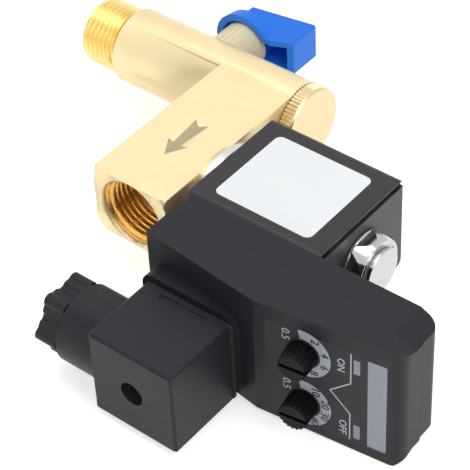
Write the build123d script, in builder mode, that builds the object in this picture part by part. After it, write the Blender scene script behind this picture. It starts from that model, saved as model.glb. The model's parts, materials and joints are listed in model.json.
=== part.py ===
from build123d import *
import math
import os

# Automatic drain valve: brass body with ball valve and strainer, solenoid, timer and cable plug.
# Origin: centre of the inlet thread's end face. +X runs along the inlet bar towards the
# strainer cap, -Y points out of the outlet port, +Z is up, on the side of the flow arrow.

# ---------------------------------------------------------------- driving dimensions (mm)
# Pipe threads, G 1/2
inlet_thread_radius = 10.48
inlet_thread_length = 14.0
thread_end_chamfer = 0.5
inlet_bore_radius = 6.5
outlet_bore_radius = 9.3
outlet_bore_depth = 12.0
outlet_mouth_radius = 10.9
outlet_mouth_depth = 1.6

# Bar and square branch
bar_radius = 11.8
bar_length = 76.4
chamber_radius = 9.6
branch_end_gap = 0.1
branch_width = 26.2
branch_height = 22.5
outlet_y = -60.1
branch_chamfer = 0.5
turned_face_radius = 15.0
turned_face_angle = 30.0
arrow_tip_y = -44.7
arrow_length = 17.0
arrow_head_length = 6.2
arrow_head_width = 7.2
arrow_shaft_width = 2.9
arrow_tail_width = 5.0
arrow_barb = 0.6
arrow_notch = 2.0
arrow_depth = 0.25

# Ball valve
stem_x = 40.5
ball_radius = 8.6
ball_port_radius = 5.0
seat_length = 4.2
seat_bore_radius = 5.2
seat_back = 1.2
retainer_length = 4.0
retainer_slot_width = 2.0
retainer_slot_length = 4.0
retainer_slot_depth = 1.5
stem_radius = 3.2
stem_collar_radius = 4.6
stem_collar_height = 1.4
tang_thickness = 2.4
tang_depth = 2.0
bonnet_radius = 7.4
bonnet_top_y = 20.4
stem_square = 4.4
o_ring_section = 1.4
first_ring_height = 2.0
ring_spacing = 3.5

# Handle
hub_radius = 10.5
hub_rim_y = 18.9
hub_top_y = 30.0
lever_tip_x = 57.5
lever_height = 12.0
lever_rise = 3.0
lever_depth = 11.8
handle_wall = 1.9
handle_edge = 0.8
cup_clearance = 0.9
hub_draft = 8
box_from_stem = 5.0
handle_screw_radius = 3.4
handle_screw_head = 2.4
screw_shank_radius = 1.5
screw_shank_length = 7.0
screw_head_crown = 0.4
driver_slot_width = 0.9
driver_slot_depth = 1.0
cross_slot_length = 4.0

# Strainer
cap_width = 4.7
cap_spigot_length = 3.8
cap_spigot_bore_radius = 6.6
knurl_count = 60
knurl_depth = 0.35
strainer_radius = 6.2
strainer_wall = 0.6
strainer_slots = 10
strainer_slot_length = 4.4
strainer_slot_width = 1.4
first_slot_row = 5.0
slot_row_spacing = 6.5
strainer_end_gap = 0.6
cap_rim = 1.2
cap_edge = 0.4

# Solenoid: everything on this axis lies parallel to X
coil_y = -37.6
boss_radius = 13.2
boss_height = 2.4
valve_chamber_radius = 9.0
valve_chamber_depth = 11.0
passage_radius = 1.9
nozzle_radius = 3.4
orifice_radius = 2.0
nozzle_height = 7.2
flange_radius = 15.0
flange_thickness = 2.8
tube_radius = 6.6
tube_wall = 0.7
plunger_length = 27.0
plunger_stroke = 2.6
plunger_seal_thickness = 1.6
plunger_seal_radius = 3.9
spring_radius = 2.6
spring_wire_radius = 0.4
spring_turns = 6
spring_pocket_depth = 9.0
stub_radius = 4.9
tube_spigot_length = 2.5
spring_side_gap = 0.3
metal_edge = 0.5

# Coil
coil_length = 43.8
coil_width = 38.8
coil_height = 31.6
coil_corner = 2.2
coil_edge = 0.4
coil_groove_height = 2.0
coil_groove_depth = 1.0
coil_wall = 3.4
yoke_thickness = 2.0
yoke_width = 26.0
winding_radius = 12.4
web_gap = 0.6
bobbin_wall = 1.0
terminal_root_depth = 3.0
washer_radius = 9.6
washer_thickness = 0.9
washer_edge = 0.2
nut_flats = 18.0
hexagon_sides = 6
nut_height = 4.9
nut_face_radius = 6.8
nut_face_height = 1.5
nut_corner_allowance = 0.9
nut_draft = 14
nut_groove_width = 0.6
nut_groove_depth = 0.4
nut_face_edge = 0.3
label_length = 32.0
label_width = 29.0
label_thickness = 0.15
label_corner = 2.0
label_shift = -0.6

# Timer case
gasket_thickness = 0.9
timer_inset = 3.4
timer_length = 80.0
timer_bend_length = 38.4
timer_left_depth = 19.3
timer_bend_depth = 23.5
timer_right_depth = 17.6
timer_split_depth = 8.8
timer_left_top = 18.2
timer_left_bottom = -19.3
timer_right_top = 19.4
timer_right_bottom = -22.4
timer_wall = 2.0
timer_corner = 4.0
timer_seam = 0.4
end_bevel_length = 6.6
end_bevel_drop = 3.2
bevel_full_depth = 12.0
bevel_fade = 4.4
socket_platform_rise = 1.2
socket_platform_width = 32.2
socket_platform_top = 9.4
socket_platform_bottom = -18.6

# Control panel, measured along the panel from the bend
panel_start = 3.3
panel_end_margin = 3.5
panel_top = 14.0
panel_bottom = -19.0
panel_thickness = 0.4
dial_centre = 14.35
dial_upper_z = 6.9
dial_lower_z = -11.2
knob_radius = 4.4
knob_height = 6.3
knob_flutes = 18
knob_flute_radius = 0.35
knob_slot_width = 1.2
knob_slot_depth = 1.6
knob_draft = 3
shaft_radius = 1.5
pot_radius = 5.6
pot_thickness = 4.6
board_thickness = 1.6
relay_width = 15.0
relay_height = 12.0
relay_depth = 6.0
board_end_margin = 1.5
board_side_margin = 1.0
shaft_embed = 1.0
socket_block_width = 24.0
lamp_width = 1.8
lamp_height = 5.0
lamp_end_margin = 8.9
lamp_upper_z = 9.1
lamp_lower_z = -14.8

# Cable plug
plug_centre_z = -6.4
plug_width = 27.8
plug_height = 27.9
plug_depth = 23.6
plug_wall = 2.2
plug_corner = 1.0
plug_front_edge = 0.7
plug_offset = 0.2
relief_length = 15.0
relief_width = 1.6
relief_depth = 0.4
relief_from_rear = 2.2
plug_gasket_thickness = 0.8
plug_gasket_overhang = 0.5
blade_pitch = 9.0
blade_width = 6.3
blade_thickness = 0.9
blade_reach = 9.0
contact_wall = 0.8
insert_depth = 10.0
screw_recess_radius = 3.6
screw_recess_depth = 3.3
screw_seat_depth = 2.7
screw_engagement = 3.5
thread_hole_extra = 0.5
plug_screw_head_radius = 2.9
plug_screw_head_height = 2.4

# Cable gland on the plug
gland_depth = 11.5
gland_neck_radius = 11.3
gland_neck_length = 13.2
gland_neck_bore_radius = 7.6
gland_nut_length = 7.0
gland_nut_radius = 11.6
gland_nut_lobes = 6
cable_entry_radius = 5.0
gland_seal_length = 5.0
gland_spigot_length = 4.5
gland_lobe_radius = 2.0
gland_flat_depth = 0.4
gland_dent_radius = 1.7
gland_dent_depth = 0.8
seal_squeeze = 0.4
gland_washer_thickness = 0.8

# Clearances
slide_clearance = 0.08
seat_clearance = 0.15
shell_clearance = 0.25
turn_clearance = 0.30
end_clearance = 0.10
cut_margin = 1.0

# ---------------------------------------------------------------- derived sizes and planes
bar_length_total = bar_length + cap_width
branch_right_x = bar_length - branch_end_gap
branch_x = branch_right_x - branch_width / 2
boss_face_x = branch_right_x + boss_height
coil_left_x = boss_face_x + flange_thickness + end_clearance
coil_right_x = coil_left_x + coil_length
coil_near_y = coil_y - coil_width / 2
timer_left_x = coil_left_x + timer_inset
timer_right_x = timer_left_x + timer_length
timer_bend_x = timer_left_x + timer_bend_length
timer_rear_y = coil_near_y - gasket_thickness
timer_front_left_y = timer_rear_y - timer_left_depth
timer_bend_y = timer_rear_y - timer_bend_depth
timer_front_right_y = timer_rear_y - timer_right_depth
timer_split_y = timer_rear_y - timer_split_depth
plug_x = coil_left_x + coil_length / 2 - plug_offset
socket_platform_y = timer_bend_y - socket_platform_rise
plug_rear_y = socket_platform_y - plug_gasket_thickness
plug_front_y = plug_rear_y - plug_depth
gland_y = plug_rear_y - gland_depth
nozzle_tip_x = branch_right_x + boss_height - valve_chamber_depth + nozzle_height
seal_left_x = nozzle_tip_x + slide_clearance
plunger_left_x = seal_left_x + plunger_seal_thickness
plunger_right_x = plunger_left_x + plunger_length
core_left_x = plunger_right_x + plunger_stroke
tube_inner_radius = tube_radius - tube_wall
panel_face_run = timer_right_x - timer_bend_x
panel_face_rise = timer_front_right_y - timer_bend_y
panel_angle = math.degrees(math.atan2(panel_face_rise, panel_face_run))
panel_end = math.hypot(panel_face_run, panel_face_rise) - panel_end_margin
lamp_centre = panel_end - lamp_end_margin


def across_x(x, y=0.0, z=0.0):
    """Plane facing +X; local x runs along +Y and local y along +Z."""
    return Plane(origin=(x, y, z), x_dir=(0, 1, 0), z_dir=(1, 0, 0))


def across_y(y, x=0.0, z=0.0):
    """Plane facing +Y; local x runs along -X and local y along +Z."""
    return Plane(origin=(x, y, z), x_dir=(-1, 0, 0), z_dir=(0, 1, 0))


def out_of_front(y, x=0.0, z=0.0):
    """Plane facing -Y; local x runs along +X and local y along +Z."""
    return Plane(origin=(x, y, z), x_dir=(1, 0, 0), z_dir=(0, -1, 0))


def panel_plane(along=0.0, z=0.0, out=0.0):
    """Plane on the control panel; local x runs along the panel, local z out of it."""
    turn = math.radians(panel_angle)
    along_dir = Vector(math.cos(turn), math.sin(turn), 0)
    out_dir = Vector(math.sin(turn), -math.cos(turn), 0)
    origin = Vector(timer_bend_x, timer_bend_y, z) + along_dir * along + out_dir * out
    return Plane(origin=origin, x_dir=along_dir, z_dir=out_dir)


def save(name, part):
    """Write one named sub-part as a STEP file."""
    part.label = name
    export_step(part, f"parts/{name}.step")


os.makedirs("parts", exist_ok=True)

# ---------------------------------------------------------------- valve body
seat_left_x = stem_x - ball_radius - seat_back
stem_bore_radius = stem_radius + slide_clearance
collar_bottom_y = ball_radius + seat_clearance
collar_top_y = collar_bottom_y + stem_collar_height
valve_chamber_left_x = boss_face_x - valve_chamber_depth
passage_x = valve_chamber_left_x + passage_radius
outlet_inner_y = outlet_y + outlet_bore_depth
waterway_radius = 2 * orifice_radius
turned_face_reach = (branch_width - turned_face_radius) * math.tan(math.radians(turned_face_angle))

with BuildPart() as valve_body:
    with BuildSketch(across_x(inlet_thread_length)):
        Circle(bar_radius)
    extrude(amount=bar_length - inlet_thread_length)
    with BuildSketch(across_x(0)):
        Circle(inlet_thread_radius)
    extrude(amount=inlet_thread_length)
    chamfer(valve_body.edges().filter_by(GeomType.CIRCLE).group_by(Axis.X)[0],
            length=thread_end_chamfer)
    with BuildSketch(across_y(outlet_y, branch_x)):
        RectangleRounded(branch_width, branch_height, branch_chamfer)
    extrude(amount=-outlet_y)
    with BuildSketch(across_x(branch_right_x, coil_y)):
        Circle(boss_radius)
    extrude(amount=boss_face_x - branch_right_x)
    with BuildSketch(across_y(0, stem_x)):
        Circle(bonnet_radius)
    extrude(amount=bonnet_top_y)
    # inlet, ball chamber and strainer chamber
    with BuildSketch(across_x(0)):
        Circle(inlet_bore_radius)
    extrude(amount=stem_x, mode=Mode.SUBTRACT)
    with BuildSketch(across_x(seat_left_x)):
        Circle(chamber_radius)
    extrude(amount=bar_length - seat_left_x, mode=Mode.SUBTRACT)
    # stem bore with the recess that holds its collar
    with BuildSketch(across_y(0, stem_x)):
        Circle(stem_bore_radius)
    extrude(amount=bonnet_top_y, mode=Mode.SUBTRACT)
    with BuildSketch(across_y(0, stem_x)):
        Circle(stem_collar_radius + slide_clearance)
    extrude(amount=collar_top_y + slide_clearance, mode=Mode.SUBTRACT)
    # solenoid chamber, its nozzle, and the passages to and from it
    with BuildSketch(across_x(valve_chamber_left_x, coil_y)):
        Circle(valve_chamber_radius)
        Circle(nozzle_radius, mode=Mode.SUBTRACT)
    extrude(amount=nozzle_height, mode=Mode.SUBTRACT)
    with BuildSketch(across_x(nozzle_tip_x, coil_y)):
        Circle(valve_chamber_radius)
    extrude(amount=boss_face_x - nozzle_tip_x, mode=Mode.SUBTRACT)
    with BuildSketch(across_x(branch_x, coil_y)):
        Circle(orifice_radius)
    extrude(amount=nozzle_tip_x - branch_x, mode=Mode.SUBTRACT)
    with BuildSketch(out_of_front(0, passage_x)):
        Circle(passage_radius)
    extrude(amount=-coil_y - nozzle_radius - 1.0, mode=Mode.SUBTRACT)
    # outlet port
    with BuildSketch(across_y(outlet_y, branch_x)):
        Circle(outlet_mouth_radius)
    extrude(amount=outlet_mouth_depth, mode=Mode.SUBTRACT)
    with BuildSketch(across_y(outlet_y, branch_x)):
        Circle(outlet_bore_radius)
    extrude(amount=outlet_bore_depth, mode=Mode.SUBTRACT)
    with BuildSketch(across_y(outlet_inner_y, branch_x)):
        Circle(waterway_radius)
    extrude(amount=coil_y + waterway_radius - outlet_inner_y, mode=Mode.SUBTRACT)
    # turned face round the outlet, which takes the corners off the square
    with BuildSketch(Plane.XY):
        Polygon(
            (branch_x + turned_face_radius, outlet_y),
            (branch_x + branch_width, outlet_y),
            (branch_x + branch_width, outlet_y + turned_face_reach),
            align=None,
        )
    revolve(axis=Axis((branch_x, 0, 0), (0, 1, 0)), mode=Mode.SUBTRACT)
    # flow arrow
    with BuildSketch(Plane.XY.offset(branch_height / 2)):
        with BuildLine():
            Polyline(
                (branch_x, arrow_tip_y),
                (branch_x + arrow_head_width / 2, arrow_tip_y + arrow_head_length),
                (branch_x + arrow_shaft_width / 2, arrow_tip_y + arrow_head_length - arrow_barb),
                (branch_x + arrow_tail_width / 2, arrow_tip_y + arrow_length),
                (branch_x, arrow_tip_y + arrow_length - arrow_notch),
                (branch_x - arrow_tail_width / 2, arrow_tip_y + arrow_length),
                (branch_x - arrow_shaft_width / 2, arrow_tip_y + arrow_head_length - arrow_barb),
                (branch_x - arrow_head_width / 2, arrow_tip_y + arrow_head_length),
                close=True,
            )
        make_face()
    extrude(amount=-arrow_depth, mode=Mode.SUBTRACT)
save("valve_body", valve_body.part)

# ---------------------------------------------------------------- ball, seats and stem
with BuildPart() as ball:
    with Locations((stem_x, 0, 0)):
        Sphere(ball_radius)
    with BuildSketch(across_x(stem_x)):
        Circle(ball_port_radius)
    extrude(amount=ball_radius, both=True, mode=Mode.SUBTRACT)
    with BuildSketch(across_y(ball_radius - tang_depth, stem_x)):
        Rectangle(2 * ball_radius, tang_thickness + 2 * slide_clearance)
    extrude(amount=tang_depth, mode=Mode.SUBTRACT)
save("ball", ball.part)

with BuildPart() as seat_inlet:
    with BuildSketch(across_x(seat_left_x)):
        Circle(chamber_radius)
        Circle(seat_bore_radius, mode=Mode.SUBTRACT)
    extrude(amount=seat_length)
    with Locations((stem_x, 0, 0)):
        Sphere(ball_radius + seat_clearance, mode=Mode.SUBTRACT)
save("ball_seat_inlet", seat_inlet.part)

with BuildPart() as seat_outlet:
    add(mirror(seat_inlet.part, about=Plane.YZ.offset(stem_x)))
save("ball_seat_outlet", seat_outlet.part)

retainer_left_x = 2 * stem_x - seat_left_x
retainer_right_x = retainer_left_x + retainer_length
with BuildPart() as seat_retainer:
    with BuildSketch(across_x(retainer_left_x)):
        Circle(chamber_radius)
        Circle(seat_bore_radius, mode=Mode.SUBTRACT)
    extrude(amount=retainer_length)
    with BuildSketch(across_x(retainer_right_x)):
        with Locations((0, chamber_radius), (0, -chamber_radius)):
            Rectangle(retainer_slot_width, retainer_slot_length)
    extrude(amount=-retainer_slot_depth, mode=Mode.SUBTRACT)
save("seat_retainer", seat_retainer.part)

square_top_y = hub_top_y - handle_screw_head
ring_radius = o_ring_section / 2
first_ring_y = collar_top_y + first_ring_height
ring_ys = (first_ring_y, first_ring_y + ring_spacing)
with BuildPart() as valve_stem:
    with BuildSketch(across_y(ball_radius - tang_depth + slide_clearance, stem_x)):
        Rectangle(ball_radius, tang_thickness)
    extrude(amount=collar_bottom_y - ball_radius + tang_depth - slide_clearance)
    with BuildSketch(across_y(collar_bottom_y, stem_x)):
        Circle(stem_collar_radius)
    extrude(amount=stem_collar_height)
    with BuildSketch(across_y(collar_top_y, stem_x)):
        Circle(stem_radius)
    extrude(amount=bonnet_top_y - collar_top_y)
    with BuildSketch(across_y(bonnet_top_y, stem_x)):
        Rectangle(stem_square, stem_square)
    extrude(amount=square_top_y - bonnet_top_y)
    for ring_y in ring_ys:
        with BuildSketch(across_y(ring_y - ring_radius, stem_x)):
            Circle(stem_radius)
            Circle(stem_radius - o_ring_section, mode=Mode.SUBTRACT)
        extrude(amount=o_ring_section, mode=Mode.SUBTRACT)
    with BuildSketch(across_y(square_top_y, stem_x)):
        Circle(screw_shank_radius)
    extrude(amount=-screw_shank_length, mode=Mode.SUBTRACT)
save("valve_stem", valve_stem.part)

with BuildPart() as stem_o_rings:
    for ring_y in ring_ys:
        with Locations(across_y(ring_y, stem_x)):
            Torus(stem_radius - ring_radius, ring_radius)
save("stem_o_rings", stem_o_rings.part)

# ---------------------------------------------------------------- handle and its screw
box_left_x = stem_x - box_from_stem
hub_floor_y = bonnet_top_y + cup_clearance
hub_back_y = hub_floor_y + handle_wall
box_half_height = lever_height / 2
tip_rim_y = hub_rim_y + lever_rise
with BuildPart() as handle:
    with BuildSketch(across_y(hub_rim_y, stem_x)):
        Circle(hub_radius)
    extrude(amount=hub_back_y - hub_rim_y, taper=hub_draft)
    with BuildSketch(Plane.XY):
        Polygon(
            (box_left_x, hub_rim_y),
            (stem_x + hub_radius, hub_rim_y),
            (lever_tip_x, tip_rim_y),
            (lever_tip_x, tip_rim_y + lever_depth),
            (box_left_x, hub_top_y),
            align=None,
        )
    extrude(amount=box_half_height, both=True)
    box_edges = handle.edges().filter_by(lambda edge: edge.center().Y > hub_back_y - handle_wall)
    fillet(box_edges.filter_by(GeomType.LINE), radius=handle_edge)
    # cup over the bonnet, and the hollow of the lever
    with BuildSketch(across_y(hub_rim_y, stem_x)):
        Circle(bonnet_radius + cup_clearance)
    extrude(amount=hub_floor_y - hub_rim_y, mode=Mode.SUBTRACT)
    with BuildSketch(Plane.XY):
        Polygon(
            (stem_x + stem_radius + handle_wall, hub_rim_y),
            (stem_x + hub_radius, hub_rim_y),
            (lever_tip_x - handle_wall, tip_rim_y - handle_wall),
            (lever_tip_x - handle_wall, tip_rim_y + lever_depth - handle_wall),
            (stem_x + stem_radius + handle_wall, hub_top_y - handle_wall),
            align=None,
        )
    extrude(amount=box_half_height - handle_wall, both=True, mode=Mode.SUBTRACT)
    # square hole for the stem and the recess for the screw's head
    with BuildSketch(across_y(hub_floor_y, stem_x)):
        Rectangle(stem_square, stem_square)
    extrude(amount=square_top_y - hub_floor_y, mode=Mode.SUBTRACT)
    with BuildSketch(across_y(square_top_y, stem_x)):
        Circle(handle_screw_radius)
    extrude(amount=2 * lever_depth, mode=Mode.SUBTRACT)
save("handle", handle.part)

with BuildPart() as handle_screw:
    with BuildSketch(across_y(square_top_y, stem_x)):
        Circle(handle_screw_radius)
    extrude(amount=handle_screw_head - screw_head_crown)
    chamfer(handle_screw.edges().group_by(Axis.Y)[-1], length=screw_head_crown)
    with BuildSketch(across_y(square_top_y, stem_x)):
        Circle(screw_shank_radius)
    extrude(amount=-screw_shank_length)
    with BuildSketch(across_y(hub_top_y - screw_head_crown, stem_x)):
        Rectangle(cross_slot_length, driver_slot_width)
        Rectangle(driver_slot_width, cross_slot_length)
    extrude(amount=-driver_slot_depth, mode=Mode.SUBTRACT)
save("handle_screw", handle_screw.part)

# ---------------------------------------------------------------- strainer and its cap
spigot_radius = chamber_radius - slide_clearance
cap_left_x = bar_length + turn_clearance
spigot_left_x = bar_length - cap_spigot_length
strainer_right_x = cap_left_x - strainer_end_gap
first_row_x = retainer_right_x + first_slot_row
with BuildPart() as strainer_screen:
    with BuildSketch(across_x(retainer_right_x)):
        Circle(strainer_radius)
        Circle(strainer_radius - strainer_wall, mode=Mode.SUBTRACT)
    extrude(amount=strainer_right_x - retainer_right_x)
    for row_x in (first_row_x, first_row_x + slot_row_spacing):
        with BuildSketch(out_of_front(0, row_x)):
            SlotOverall(strainer_slot_length, strainer_slot_width)
        slot_cut = extrude(amount=2 * strainer_radius, mode=Mode.PRIVATE)
        for turn in range(strainer_slots):
            add(slot_cut.rotate(Axis.X, 360 / strainer_slots * turn), mode=Mode.SUBTRACT)
save("strainer_screen", strainer_screen.part)

ring_groove_x = cap_left_x - ring_radius - o_ring_section
with BuildPart() as strainer_cap:
    with BuildSketch(across_x(spigot_left_x)):
        Circle(spigot_radius)
    extrude(amount=cap_left_x - spigot_left_x)
    with BuildSketch(across_x(cap_left_x)):
        Circle(bar_radius)
    extrude(amount=bar_length_total - cap_left_x)
    chamfer(strainer_cap.edges().group_by(Axis.X)[-1], length=cap_edge)
    with BuildSketch(across_x(spigot_left_x)):
        Circle(cap_spigot_bore_radius)
    extrude(amount=cap_left_x - spigot_left_x, mode=Mode.SUBTRACT)
    with BuildSketch(across_x(ring_groove_x)):
        Circle(spigot_radius)
        Circle(spigot_radius - o_ring_section, mode=Mode.SUBTRACT)
    extrude(amount=o_ring_section, mode=Mode.SUBTRACT)
    with BuildSketch(across_x(cap_left_x)):
        with PolarLocations(bar_radius, knurl_count):
            Rectangle(2 * knurl_depth, 2 * knurl_depth, rotation=45)
    extrude(amount=cap_width - cap_rim, mode=Mode.SUBTRACT)
save("strainer_cap", strainer_cap.part)

with BuildPart() as cap_o_ring:
    with Locations(across_x(ring_groove_x + ring_radius)):
        Torus(spigot_radius - ring_radius, ring_radius)
save("cap_o_ring", cap_o_ring.part)

# ---------------------------------------------------------------- solenoid tube and plunger
tube_spigot_left_x = boss_face_x - tube_spigot_length
tube_right_x = coil_right_x
core_radius = tube_inner_radius
flange_right_x = boss_face_x + flange_thickness
with BuildPart() as armature_tube:
    with BuildSketch(across_x(tube_spigot_left_x, coil_y)):
        Circle(valve_chamber_radius)
    extrude(amount=boss_face_x - tube_spigot_left_x)
    with BuildSketch(across_x(boss_face_x, coil_y)):
        Circle(flange_radius)
    extrude(amount=flange_thickness)
    chamfer(armature_tube.edges().group_by(Axis.X)[-1], length=metal_edge)
    with BuildSketch(across_x(flange_right_x, coil_y)):
        Circle(tube_radius)
    extrude(amount=tube_right_x - flange_right_x)
    with BuildSketch(across_x(tube_spigot_left_x, coil_y)):
        Circle(tube_inner_radius)
    extrude(amount=tube_right_x - tube_spigot_left_x, mode=Mode.SUBTRACT)
save("armature_tube", armature_tube.part)

with BuildPart() as tube_o_ring:
    with Locations(across_x(tube_spigot_left_x - ring_radius, coil_y)):
        Torus(valve_chamber_radius - ring_radius, ring_radius)
save("tube_o_ring", tube_o_ring.part)

stub_right_x = coil_right_x + end_clearance + washer_thickness + nut_height
with BuildPart() as fixed_core:
    with BuildSketch(across_x(core_left_x, coil_y)):
        Circle(core_radius)
    extrude(amount=tube_right_x - core_left_x)
    with BuildSketch(across_x(tube_right_x, coil_y)):
        Circle(stub_radius)
    extrude(amount=stub_right_x - tube_right_x)
    chamfer(fixed_core.edges().group_by(Axis.X)[-1], length=metal_edge)
save("fixed_core", fixed_core.part)

plunger_radius = tube_inner_radius - slide_clearance
pocket_radius = spring_radius + spring_wire_radius + spring_side_gap
pocket_floor_x = plunger_right_x - spring_pocket_depth
with BuildPart() as plunger:
    with BuildSketch(across_x(plunger_left_x, coil_y)):
        Circle(plunger_radius)
    extrude(amount=plunger_length)
    chamfer(plunger.edges().group_by(Axis.X)[0], length=metal_edge)
    with BuildSketch(across_x(plunger_right_x, coil_y)):
        Circle(pocket_radius)
    extrude(amount=-spring_pocket_depth, mode=Mode.SUBTRACT)
save("plunger", plunger.part)

with BuildPart() as plunger_seal:
    with BuildSketch(across_x(seal_left_x, coil_y)):
        Circle(plunger_seal_radius)
    extrude(amount=plunger_seal_thickness)
save("plunger_seal", plunger_seal.part)

spring_length = core_left_x - pocket_floor_x - 2 * spring_wire_radius
with BuildPart() as plunger_spring:
    with BuildLine() as coil_path:
        Helix(
            pitch=spring_length / spring_turns,
            height=spring_length,
            radius=spring_radius,
            center=(pocket_floor_x + spring_wire_radius, coil_y, 0),
            direction=(1, 0, 0),
        )
    with BuildSketch(Plane(origin=coil_path.line @ 0, z_dir=coil_path.line % 0)):
        Circle(spring_wire_radius)
    sweep()
save("plunger_spring", plunger_spring.part)

# ---------------------------------------------------------------- coil
winding_left_x = coil_left_x + yoke_thickness + coil_wall / 2
winding_right_x = coil_right_x - yoke_thickness - coil_wall / 2
web_near_y = coil_y + winding_radius + web_gap
plate_depth = web_near_y - coil_y + yoke_width / 2
plate_middle_y = web_near_y - plate_depth / 2


def yoke_form():
    """U-shaped steel bracket: two end plates joined by a web behind the winding."""
    with BuildPart() as form:
        with BuildSketch(across_x(coil_left_x, plate_middle_y)):
            Rectangle(plate_depth, yoke_width)
        extrude(amount=yoke_thickness)
        with BuildSketch(across_x(coil_right_x, plate_middle_y)):
            Rectangle(plate_depth, yoke_width)
        extrude(amount=-yoke_thickness)
        with BuildSketch(across_x(coil_left_x, web_near_y + yoke_thickness / 2)):
            Rectangle(yoke_thickness, yoke_width)
        extrude(amount=coil_right_x - coil_left_x)
    return form.part


tube_clear_radius = tube_radius + slide_clearance
with BuildPart() as coil_yoke:
    add(yoke_form())
    with BuildSketch(across_x(coil_left_x, coil_y)):
        Circle(tube_clear_radius)
    extrude(amount=coil_length, mode=Mode.SUBTRACT)
save("coil_yoke", coil_yoke.part)

bobbin_radius = tube_clear_radius + bobbin_wall
with BuildPart() as coil_bobbin:
    with BuildSketch(across_x(winding_left_x, coil_y)):
        Circle(bobbin_radius)
        Circle(tube_clear_radius, mode=Mode.SUBTRACT)
    extrude(amount=winding_right_x - winding_left_x)
    for flange_x, side in ((winding_left_x, 1), (winding_right_x, -1)):
        with BuildSketch(across_x(flange_x, coil_y)):
            Circle(winding_radius)
            Circle(tube_clear_radius, mode=Mode.SUBTRACT)
        extrude(amount=side * bobbin_wall)
save("coil_bobbin", coil_bobbin.part)

with BuildPart() as coil_winding:
    with BuildSketch(across_x(winding_left_x + bobbin_wall, coil_y)):
        Circle(winding_radius)
        Circle(bobbin_radius, mode=Mode.SUBTRACT)
    extrude(amount=winding_right_x - winding_left_x - 2 * bobbin_wall)
save("coil_winding", coil_winding.part)

blade_root_y = coil_near_y + terminal_root_depth
blade_places = ((-blade_pitch, 0, 0), (blade_pitch, 0, 0), (0, -blade_pitch, 90))


def blades(centre_z, from_y, to_y, wall=0.0):
    """Three flat connector blades that run along -Y, made thicker all round by a wall."""
    with BuildPart() as form:
        with BuildSketch(out_of_front(from_y, plug_x, centre_z)):
            for blade_x, blade_z, turn in blade_places:
                with Locations((blade_x, blade_z)):
                    Rectangle(
                        blade_thickness + 2 * wall,
                        blade_width + 2 * wall,
                        rotation=turn,
                    )
        extrude(amount=from_y - to_y)
    return form.part


label_x = (coil_left_x + coil_right_x) / 2
label_y = coil_y + label_shift
with BuildPart() as coil_label:
    with BuildSketch(Plane.XY.offset(coil_height / 2)):
        with Locations((label_x, label_y)):
            RectangleRounded(label_length, label_width, label_corner)
    extrude(amount=-label_thickness)
save("coil_label", coil_label.part)

with BuildPart() as coil_shell:
    with BuildSketch(across_x(coil_left_x, coil_y)):
        RectangleRounded(coil_width, coil_height, coil_corner)
    extrude(amount=coil_length)
    fillet(coil_shell.edges().filter_by(Axis.X, reverse=True), radius=coil_edge)
    # groove across the end face, over the edge of the yoke
    with BuildSketch(across_x(coil_right_x, coil_y, (yoke_width + coil_groove_height) / 2)):
        Rectangle(coil_width, coil_groove_height)
    extrude(amount=-coil_groove_depth, mode=Mode.SUBTRACT)
    with BuildSketch(across_x(coil_left_x, coil_y)):
        Circle(tube_clear_radius)
    extrude(amount=coil_length, mode=Mode.SUBTRACT)
    with BuildSketch(across_x(winding_left_x, coil_y)):
        Circle(winding_radius + slide_clearance)
    extrude(amount=winding_right_x - winding_left_x, mode=Mode.SUBTRACT)
    add(yoke_form(), mode=Mode.SUBTRACT)
    add(blades(0, blade_root_y, coil_near_y), mode=Mode.SUBTRACT)
    add(coil_label.part, mode=Mode.SUBTRACT)
save("coil_shell", coil_shell.part)

with BuildPart() as coil_terminals:
    add(blades(0, blade_root_y, timer_rear_y - blade_reach + bobbin_wall))
save("coil_terminals", coil_terminals.part)

with BuildPart() as coil_gasket:
    with BuildSketch(out_of_front(coil_near_y, plug_x)):
        RectangleRounded(plug_width, plug_width, plug_corner)
        for blade_x, blade_z, turn in blade_places:
            with Locations((blade_x, blade_z)):
                Rectangle(blade_thickness, blade_width, rotation=turn, mode=Mode.SUBTRACT)
    extrude(amount=gasket_thickness)
save("coil_gasket", coil_gasket.part)

washer_left_x = coil_right_x + end_clearance
nut_left_x = washer_left_x + washer_thickness
nut_right_x = nut_left_x + nut_height
with BuildPart() as coil_washer:
    with BuildSketch(across_x(washer_left_x, coil_y)):
        Circle(washer_radius)
        Circle(stub_radius + slide_clearance, mode=Mode.SUBTRACT)
    extrude(amount=washer_thickness)
    rims = coil_washer.edges().filter_by(GeomType.CIRCLE)
    chamfer(rims.group_by(SortBy.RADIUS)[-1], length=washer_edge)
save("coil_washer", coil_washer.part)

with BuildPart() as coil_nut:
    with BuildSketch(across_x(nut_left_x, coil_y)):
        RegularPolygon(nut_flats / 2, hexagon_sides, major_radius=False)
    extrude(amount=nut_height)
    with BuildSketch(across_x(nut_left_x, coil_y)):
        Circle(nut_flats / 2 + nut_corner_allowance)
    extrude(amount=nut_height, taper=nut_draft, mode=Mode.INTERSECT)
    with BuildSketch(across_x(nut_right_x, coil_y)):
        Circle(nut_face_radius)
    extrude(amount=nut_face_height)
    chamfer(coil_nut.edges().group_by(Axis.X)[-1], length=nut_face_edge)
    with BuildSketch(across_x(nut_right_x, coil_y)):
        Circle(nut_face_radius + nut_groove_width)
        Circle(nut_face_radius, mode=Mode.SUBTRACT)
    extrude(amount=-nut_groove_depth, mode=Mode.SUBTRACT)
    with BuildSketch(across_x(nut_left_x, coil_y)):
        Circle(stub_radius + slide_clearance)
    extrude(amount=nut_height + slide_clearance, mode=Mode.SUBTRACT)
save("coil_nut", coil_nut.part)

# ---------------------------------------------------------------- timer case


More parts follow.
